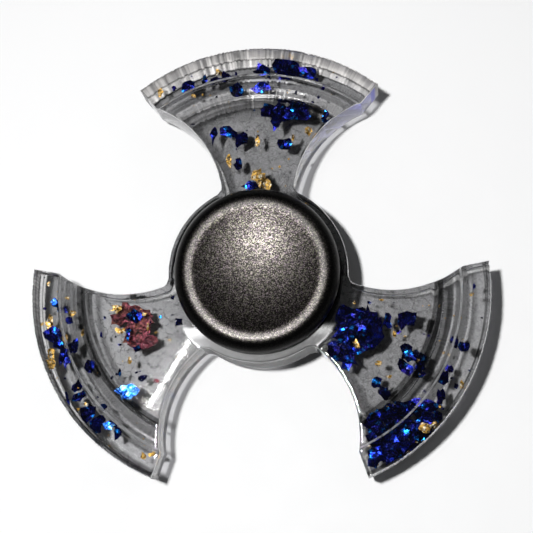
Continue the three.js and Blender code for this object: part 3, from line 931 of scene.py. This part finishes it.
BLUE_RIGHT = [
    (14.6, -7.6, 4.0, 4.4), (17.4, -8.4, 4.6, 5.6), (15.4, -11.6, 5.0, 3.6), (12.9, -12.0, 3.4, 3.2),
    (14.4, -14.2, 3.6, 3.0), (17.8, -11.6, 3.0, 3.4), (18.0, -4.8, 0.7, 0.6), (20.9, -7.9, 1.6, 2.8),
    (23.7, -7.7, 3.5, 3.0), (25.2, -7.0, 1.0, 0.8), (22.7, -9.7, 0.8, 0.6), (26.9, -10.1, 0.6, 0.4),
    (23.9, -13.4, 2.4, 3.2), (25.8, -14.6, 2.8, 4.2), (23.4, -15.2, 2.0, 2.4), (26.0, -16.6, 2.4, 1.4),
    (19.0, -18.0, 1.8, 2.2), (20.0, -19.4, 1.6, 1.6), (31.6, -11.4, 1.4, 2.4), (33.1, -12.4, 2.0, 2.0),
    (30.6, -15.8, 1.6, 1.8), (29.7, -17.2, 1.8, 2.6), (29.2, -20.3, 1.5, 3.4), (31.7, -18.6, 0.7, 0.9),
    (35.0, -2.4, 0.5, 1.3), (12.1, -8.9, 1.0, 0.8),
    (18.6, -25.2, 4.2, 3.6), (22.0, -24.0, 5.0, 4.0), (25.6, -22.2, 4.6, 3.2), (27.6, -21.6, 2.4, 2.4),
    (19.4, -28.6, 4.4, 4.6), (22.6, -27.6, 4.6, 4.6), (25.8, -26.4, 4.0, 4.2), (21.4, -30.2, 3.4, 2.4),
    (27.6, -27.4, 1.4, 1.2), (28.6, -23.8, 1.6, 2.2), (16.2, -9.8, 5.6, 5.6), (14.0, -10.2, 4.4, 4.2),
    (16.4, -6.8, 4.2, 3.0), (13.4, -13.2, 4.2, 3.0), (18.8, -9.4, 3.6, 4.4), (20.2, -26.8, 6.0, 4.6),
    (24.0, -25.4, 6.0, 4.2), (18.0, -23.6, 3.0, 3.2), (23.4, -22.0, 5.0, 2.8), (20.6, -23.0, 5.0, 3.4),
    (18.4, -30.4, 3.0, 3.0), (23.6, -29.0, 4.4, 2.8), (26.6, -24.2, 4.0, 3.4),
]
GOLD_TOP = [
    (-7.0, 35.2, 1.3, 1.4), (4.1, 37.3, 0.6, 0.7), (5.5, 37.1, 1.5, 1.0), (-16.7, 31.6, 1.3, 1.7),
    (8.3, 24.4, 1.3, 1.9), (5.7, 23.3, 0.5, 1.2), (-0.3, 22.9, 0.7, 1.7), (-5.0, 19.6, 1.0, 2.2),
    (0.0, 16.4, 2.4, 3.0), (1.0, 15.4, 1.8, 2.4), (3.5, 18.1, 0.5, 0.5), (2.2, 18.0, 0.3, 0.3),
    (5.0, 19.5, 0.4, 0.4), (7.3, 20.2, 0.7, 0.5), (4.5, 14.7, 0.3, 0.3), (7.8, 11.8, 0.7, 0.5),
    (-11.5, 8.2, 0.6, 0.4), (12.6, 34.3, 0.3, 0.3), (-11.0, 30.8, 0.8, 0.8), (-9.6, 31.2, 0.4, 0.3),
]
GOLD_LEFT = [
    (-35.1, -1.0, 0.7, 0.7), (-31.9, -3.4, 1.0, 0.6), (-31.1, -5.8, 1.3, 1.1), (-35.0, -7.3, 1.8, 2.6),
    (-36.3, -7.6, 0.8, 0.7), (-34.0, -9.0, 0.5, 0.7), (-32.2, -10.0, 0.9, 1.3), (-34.9, -12.4, 1.4, 2.0),
    (-34.3, -14.2, 2.2, 2.0), (-29.2, -9.2, 0.6, 1.6), (-23.6, -5.4, 1.8, 1.5), (-22.9, -9.1, 1.9, 1.3),
    (-19.0, -6.3, 1.0, 0.8), (-16.9, -9.3, 0.8, 0.5), (-14.6, -10.6, 0.7, 0.4), (-21.6, -13.8, 0.8, 1.2),
    (-18.6, -8.2, 0.6, 1.2), (-19.0, -29.3, 0.9, 1.3), (-17.5, -29.2, 1.2, 0.9), (-19.2, -26.6, 0.4, 0.4),
    (-28.5, -21.0, 0.7, 0.8), (-30.2, -21.6, 0.5, 0.5), (-30.9, -18.2, 0.6, 0.6), (-13.6, -13.4, 0.3, 0.3),
]
GOLD_RIGHT = [
    (15.6, -5.0, 0.6, 0.8), (15.8, -11.9, 1.3, 1.7), (20.0, -4.6, 0.8, 0.4), (29.3, -5.6, 0.7, 0.5),
    (22.0, -10.2, 0.8, 1.2), (23.8, -10.4, 0.5, 0.4), (25.2, -14.2, 0.8, 0.7), (19.3, -15.0, 1.1, 1.1),
    (21.0, -17.1, 1.0, 0.6), (29.9, -13.2, 0.5, 0.5), (32.7, -18.5, 0.8, 1.5), (29.1, -21.8, 0.5, 0.5),
    (34.5, -3.9, 0.8, 0.7), (32.6, -7.7, 0.5, 0.4), (26.6, -25.6, 1.8, 2.0), (28.3, -25.0, 1.8, 1.4),
    (17.6, -27.9, 0.9, 1.0), (24.2, -29.3, 0.5, 0.5), (18.9, -31.0, 0.6, 0.5), (13.3, -11.9, 0.4, 0.5),
]
COPPER_LEFT = [
    (-23.8, -6.4, 3.6, 3.2), (-20.4, -5.8, 4.2, 2.8), (-19.4, -8.2, 2.4, 3.0), (-21.6, -8.2, 2.6, 2.0),
    (-20.4, -10.6, 4.2, 2.6), (-17.2, -17.1, 1.0, 1.0), (-22.4, -5.4, 4.4, 3.0), (-20.2, -7.4, 5.0, 4.4),
    (-21.6, -10.0, 3.4, 2.8), (-18.8, -10.2, 3.6, 2.4),
]
CYAN_LEFT = [(-21.9, -18.9, 3.6, 3.0), (-24.6, -24.4, 2.0, 1.4), (-34.0, -4.0, 1.4, 1.2)]


def resin_tree():
    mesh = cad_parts["resin_body"].data
    return BVHTree.FromPolygons([v.co for v in mesh.vertices], [p.vertices for p in mesh.polygons])


def buried(tree, point):
    """Whether a point is inside the resin with enough of it all round."""
    up = Vector((0, 0, 1))
    normal = tree.ray_cast(point, up)[1]
    return bool(normal) and normal.dot(up) > 0 and tree.find_nearest(point)[3] >= COVER * MM


def kept_inside(tree, point):
    """The point itself, or the nearest one with enough resin over it."""
    if buried(tree, point):
        return point
    near, normal, *_ = tree.find_nearest(point)
    return near - normal * COVER * MM


def flake(bm, tree, rng, spot, size, depth, crumple, facet, tilt=TILT):
    """One crumpled scrap with a torn outline: size is its width and height, facet the width of its folds."""
    across = max(size)
    rim_count = max(FEWEST_CORNERS, round(CORNERS * across / facet))
    outline = []
    for i in range(rim_count):
        a = 2 * math.pi * (i + rng.uniform(-0.3, 0.3)) / rim_count
        reach = 0.5 * rng.choice([rng.uniform(*tear) for tear in TEARS])
        outline.append(Vector((reach * size[0] * math.cos(a), reach * size[1] * math.sin(a))))
    inner = []
    wanted = round(FOLDS * size[0] * size[1] / facet**2)
    for _ in range(wanted):
        a = rng.uniform(0, 2 * math.pi)
        reach = INNER_REACH * math.sqrt(rng.random())
        inner.append(Vector((reach * size[0] * math.cos(a), reach * size[1] * math.sin(a))))
    edges = [(i, (i + 1) % rim_count) for i in range(rim_count)]
    flat, _, faces, *_ = delaunay_2d_cdt(outline + inner, edges, [], 1, 1e-5)
    turn = Euler((rng.uniform(-tilt, tilt), rng.uniform(-tilt, tilt), 0))
    seed = Vector((rng.uniform(0, 99), rng.uniform(0, 99), 0))
    verts = []
    for p in flat:
        wave = noise.noise(Vector((p.x, p.y, 0)) / (FOLD_LENGTH * facet) + seed)
        fold = wave + rng.uniform(-FOLD_JITTER, FOLD_JITTER)
        local = Vector((p.x, p.y, crumple * facet * fold))
        local.rotate(turn)
        place = Vector((spot[0], spot[1], depth)) + local
        verts.append(bm.verts.new(kept_inside(tree, place * MM)))
    for face in faces:
        bm.faces.new([verts[i] for i in face])


def thin_piece(name, bm, material):
    """A rotor piece of a bmesh's faces, made as thick as foil."""
    obj = piece(name, bm, material, "rotor")
    thick = obj.modifiers.new("foil_thickness", "SOLIDIFY")
    thick.thickness = SHEET * MM
    thick.offset = 0


def foil(name, tree, flakes, material, seed, crumple, facet, depths=FOIL_DEPTHS, tilt=TILT):
    """One piece of many flakes, at depths that spread through the resin."""
    rng = random.Random(seed)
    bm = bmesh.new()
    for x, y, width, height in flakes:
        fold = min(facet, 0.45 * max(width, height))
        flake(bm, tree, rng, (x, y), (width, height), rng.uniform(*depths), crumple, fold, tilt)
    thin_piece(name, bm, material)


def specks(name, tree, count, material, seed, sizes):
    """Fine crumbs of foil scattered all through the arms."""
    rng = random.Random(seed)
    bm = bmesh.new()
    made = 0
    while made < count:
        radius = SPECK_START + SPECK_SPREAD * math.sqrt(rng.random())
        angle = rng.uniform(0, 2 * math.pi)
        spot = Vector((radius * math.cos(angle), radius * math.sin(angle), rng.uniform(*SPECK_DEPTHS)))
        if not buried(tree, spot * MM):
            continue
        size = rng.uniform(*sizes)
        narrow = size * rng.uniform(0.5, 1)
        flake(bm, tree, rng, spot[:2], (size, narrow), spot.z, crumple=0.9, facet=size / 2)
        made += 1
    thin_piece(name, bm, material)


# ---- Studio ----

# Lengths in this section are in metres where nothing else is said.
FLOOR_RADIUS = 4.0
CAMERA_PLACE = (0.0228, -0.0412, 0.2411)
CAMERA_TURN = (10.04, 5.19, -0.18)  # degrees
CAMERA_LENS = 100  # millimetres, as is the sensor
SENSOR_WIDTH = 36
CLIP_START = 0.01
HORIZON = (0.05, (0.54, 0.55, 0.56, 1))  # how high up, and the colour
OVERHEAD = (0.38, (0.036, 0.037, 0.039, 1))


def floor():
    bm = bmesh.new()
    bmesh.ops.create_circle(bm, cap_ends=True, segments=96, radius=FLOOR_RADIUS)
    mesh = bpy.data.meshes.new("floor")
    bm.to_mesh(mesh)
    bm.free()
    obj = bpy.data.objects.new("floor", mesh)
    obj.location.z = FLOOR_Z
    mesh.materials.append(floor_material())
    bpy.context.scene.collection.objects.link(obj)


def lamp(name, place, size, watts, tube=None):
    """An area lamp that faces the hub: a disc, or a tube with a length and a direction."""
    data = bpy.data.lights.new(name, "AREA")
    data.shape = "DISK"
    data.size = size
    data.energy = watts
    back = Vector(place).normalized()
    aside = back.orthogonal()
    if tube:
        length, aside = tube
        data.shape = "RECTANGLE"
        data.size, data.size_y = length, size
        aside = Vector(aside)
    aside = (aside - back * aside.dot(back)).normalized()
    obj = bpy.data.objects.new(name, data)
    obj.location = place
    obj.rotation_euler = Matrix((aside, back.cross(aside), back)).transposed().to_euler()
    bpy.context.scene.collection.objects.link(obj)


def sky():
    """Pale round the horizon, and dim overhead so that dark metal stays dark."""
    world = bpy.data.worlds.new("studio")
    world.use_nodes = True
    tree = world.node_tree
    direction = tree.nodes.new("ShaderNodeTexCoord").outputs["Generated"]
    split = tree.nodes.new("ShaderNodeSeparateXYZ")
    ramp = tree.nodes.new("ShaderNodeValToRGB")
    tree.links.new(direction, split.inputs[0])
    tree.links.new(split.outputs["Z"], ramp.inputs[0])
    stops = ramp.color_ramp.elements
    stops[0].position, stops[0].color = HORIZON
    stops[1].position, stops[1].color = OVERHEAD
    tree.links.new(ramp.outputs[0], tree.nodes["Background"].inputs[0])
    bpy.context.scene.world = world


def camera():
    data = bpy.data.cameras.new("camera")
    data.lens = CAMERA_LENS
    data.sensor_width = SENSOR_WIDTH
    data.clip_start = CLIP_START
    obj = bpy.data.objects.new("camera", data)
    obj.location = CAMERA_PLACE
    obj.rotation_euler = [math.radians(a) for a in CAMERA_TURN]
    bpy.context.scene.collection.objects.link(obj)
    bpy.context.scene.camera = obj


# ---- Assembly ----

camera()
floor()
sky()
lamp("flash", (-0.043, -0.012, 0.35), size=0.02, watts=1.24)
lamp("tube", (-0.0694, 0.0194, 0.35), size=0.0014, watts=0.012, tube=(0.037, (-0.0197, -0.0317, 0)))
lamp("softbox", (0.35, 0.45, 0.55), size=0.5, watts=0.16)

black = anodised_black()
steel = polished_steel()
sheet_steel = pressed_steel()
blue, gold, copper = blue_foil(), gold_foil(), copper_foil()

front_cap(black)
back_cap(black)
outer_ring(steel)
inner_ring(steel)
shield("front_shield", "shield_front", 1, sheet_steel)
shield("back_shield", "shield_back", -1, sheet_steel)
for name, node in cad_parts.items():
    if name.startswith("bearing_ball"):
        node.data.materials[0] = steel
    if name.startswith("cage"):
        node.data.materials[0] = sheet_steel
resin_rotor(resin_material())

tree = resin_tree()
for arm, flakes, seed in (("top", BLUE_TOP, 11), ("left", BLUE_LEFT, 12), ("right", BLUE_RIGHT, 13)):
    foil(f"blue_foil_{arm}_arm", tree, flakes, blue, seed, crumple=0.7, facet=0.75)
for arm, flakes, seed in (("top", GOLD_TOP, 21), ("left", GOLD_LEFT, 22), ("right", GOLD_RIGHT, 23)):
    name = f"gold_leaf_{arm}_arm"
    foil(name, tree, flakes, gold, seed, crumple=0.6, facet=0.5, depths=GOLD_DEPTHS, tilt=0.15)
cyan = cyan_foil()
foil("cyan_foil_left_arm", tree, CYAN_LEFT, cyan, 14, crumple=0.25, facet=0.7, depths=(1.0, 2.4), tilt=0.03)
foil("copper_foil_left_arm", tree, COPPER_LEFT, copper, 31, crumple=0.6, facet=0.6, depths=(-2.6, -1.2))
specks("gold_specks", tree, 60, gold, seed=41, sizes=(0.15, 0.4))
specks("blue_specks", tree, 60, blue, seed=42, sizes=(0.2, 0.6))

scene = bpy.context.scene
scene.view_settings.view_transform = "Standard"
scene.cycles.use_denoising = True
scene.cycles.caustics_reflective = False
scene.cycles.caustics_refractive = False
